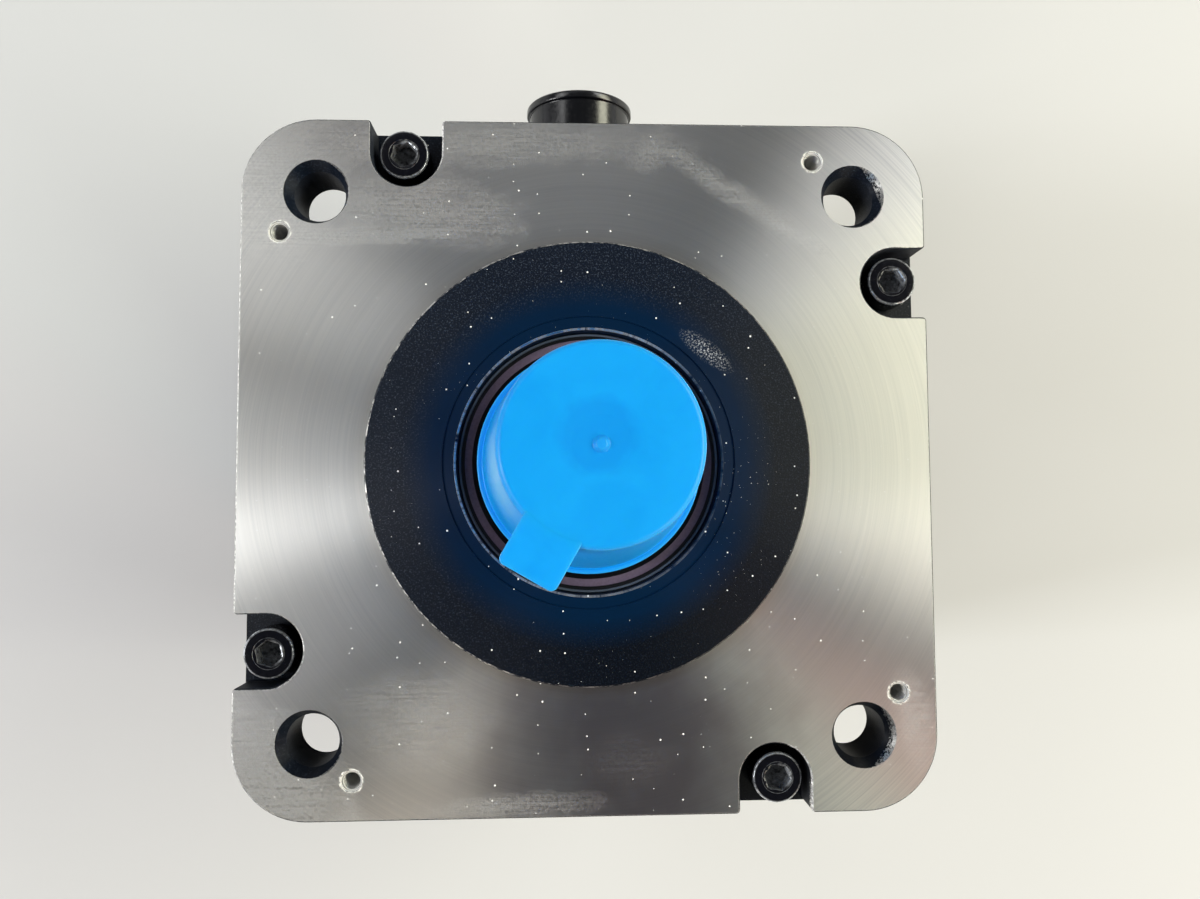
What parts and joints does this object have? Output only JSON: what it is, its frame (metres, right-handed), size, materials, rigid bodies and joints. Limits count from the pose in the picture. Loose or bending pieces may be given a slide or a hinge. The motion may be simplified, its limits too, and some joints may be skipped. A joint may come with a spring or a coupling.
{
  "type": "ac servo motor",
  "caption": "Square-flange AC servo motor with a turned mounting face, round pilot, capped shaft, corner bolt channels, encoder cover and side connectors.",
  "frame": {"origin": "centre of the mounting face, on the motor axis where the pilot rises from the face", "axes": "+Z along the shaft, out of the mounting face; +Y towards the power and encoder connectors"},
  "size_m": [0.18, 0.2269, 0.2875],
  "materials": {
    "machined_cast_aluminium": "cast aluminium, mounting face turned bright, pilot and hollows painted black",
    "black_painted_aluminium": "black semi-gloss paint over cast or extruded aluminium",
    "black_oxide_steel": "black oxide, oiled",
    "seal_rubber": "brown-black moulded nitrile rubber",
    "bearing_steel": "ground bearing steel",
    "nylon": "moulded nylon",
    "zinc_steel": "bright zinc plate",
    "electrical_steel": "stacked laminations",
    "bobbin_plastic": "moulded plastic",
    "enamelled_copper": "enamelled winding wire",
    "ground_steel": "turned and ground",
    "nickel_plated_magnet": "nickel plate",
    "glass_fibre_band": "wound glass fibre",
    "turned_aluminium": "turned",
    "spring_steel": "blue-grey tempered",
    "encoder_glass": "clear glass with a graduated track",
    "brass": "turned",
    "black_moulded_plastic": "moulded, glossy",
    "circuit_board": "solder mask",
    "gasket_rubber": "sheet rubber",
    "zinc_black_shell": "black zinc plate",
    "insert_rubber": "moulded synthetic rubber",
    "gold_plated_brass": "plated",
    "lead_insulation": "silicone insulation",
    "blue_moulded_plastic": "moulded, satin gloss"
  },
  "bodies": {
    "housing": {"front_flange": "machined_cast_aluminium", "flange_screws": "black_oxide_steel", "oil_seal": "seal_rubber", "front_bearing_outer_ring": "bearing_steel", "rear_bearing_outer_ring": "bearing_steel", "bearing_retainer": "zinc_steel", "retainer_screws": "black_oxide_steel", "stator_frame": "black_painted_aluminium", "stator_core": "electrical_steel", "coil_bobbins": "bobbin_plastic", "stator_coils": "enamelled_copper", "rear_bracket": "black_painted_aluminium", "bracket_screws": "black_oxide_steel", "wave_spring": "spring_steel", "encoder_body": "black_moulded_plastic", "encoder_body_screws": "zinc_steel", "encoder_board": "circuit_board", "encoder_cover": "black_painted_aluminium", "cover_gasket": "gasket_rubber", "cover_screws": "black_oxide_steel", "terminal_box": "black_painted_aluminium", "box_gasket": "gasket_rubber", "box_screws": "black_oxide_steel", "power_receptacle": "zinc_black_shell", "power_insert": "insert_rubber", "power_pins": "gold_plated_brass", "power_gasket": "gasket_rubber", "power_receptacle_screws": "zinc_steel", "encoder_receptacle": "zinc_black_shell", "encoder_insert": "insert_rubber", "encoder_pins": "gold_plated_brass", "encoder_gasket": "gasket_rubber", "encoder_receptacle_screws": "zinc_steel", "power_leads": "lead_insulation", "encoder_leads": "lead_insulation"},
    "rotor": {"shaft": "ground_steel", "front_bearing_inner_ring": "bearing_steel", "rear_bearing_inner_ring": "bearing_steel", "rotor_core": "electrical_steel", "rotor_magnets": "nickel_plated_magnet", "rotor_sleeve": "glass_fibre_band", "balance_plates": "turned_aluminium", "encoder_hub": "turned_aluminium", "encoder_disc": "encoder_glass", "disc_nut": "brass"},
    "front_cage": {"front_bearing_balls": "bearing_steel", "front_bearing_cage": "nylon"},
    "rear_cage": {"rear_bearing_balls": "bearing_steel", "rear_bearing_cage": "nylon"},
    "shaft_cap": {"shaft_cap": "blue_moulded_plastic"},
    "power_dust_cap": {"power_dust_cap": "black_moulded_plastic"},
    "encoder_dust_cap": {"encoder_dust_cap": "black_moulded_plastic"}
  },
  "joints": [
    {"name": "shaft_spin", "type": "hinge", "parent": "housing", "child": "rotor", "pos_m": [0, 0, 0], "axis": [0, 0, 1], "continuous": true},
    {"name": "front_cage_spin", "type": "hinge", "parent": "housing", "child": "front_cage", "pos_m": [0, 0, -0.022], "axis": [0, 0, 1], "continuous": true},
    {"name": "rear_cage_spin", "type": "hinge", "parent": "housing", "child": "rear_cage", "pos_m": [0, 0, -0.158], "axis": [0, 0, 1], "continuous": true},
    {"name": "shaft_cap_pull", "type": "slide", "parent": "rotor", "child": "shaft_cap", "axis": [0, 0, 1], "range_m": [0, 0.15]},
    {"name": "power_cap_pull", "type": "slide", "parent": "housing", "child": "power_dust_cap", "axis": [0, 1, 0], "range_m": [0, 0.05]},
    {"name": "encoder_cap_pull", "type": "slide", "parent": "housing", "child": "encoder_dust_cap", "axis": [0, 1, 0], "range_m": [0, 0.05]}
  ],
  "couplings": [
    {"joint": "front_cage_spin", "follows": "shaft_spin", "ratio": 0.4023},
    {"joint": "rear_cage_spin", "follows": "shaft_spin", "ratio": 0.3965}
  ]
}
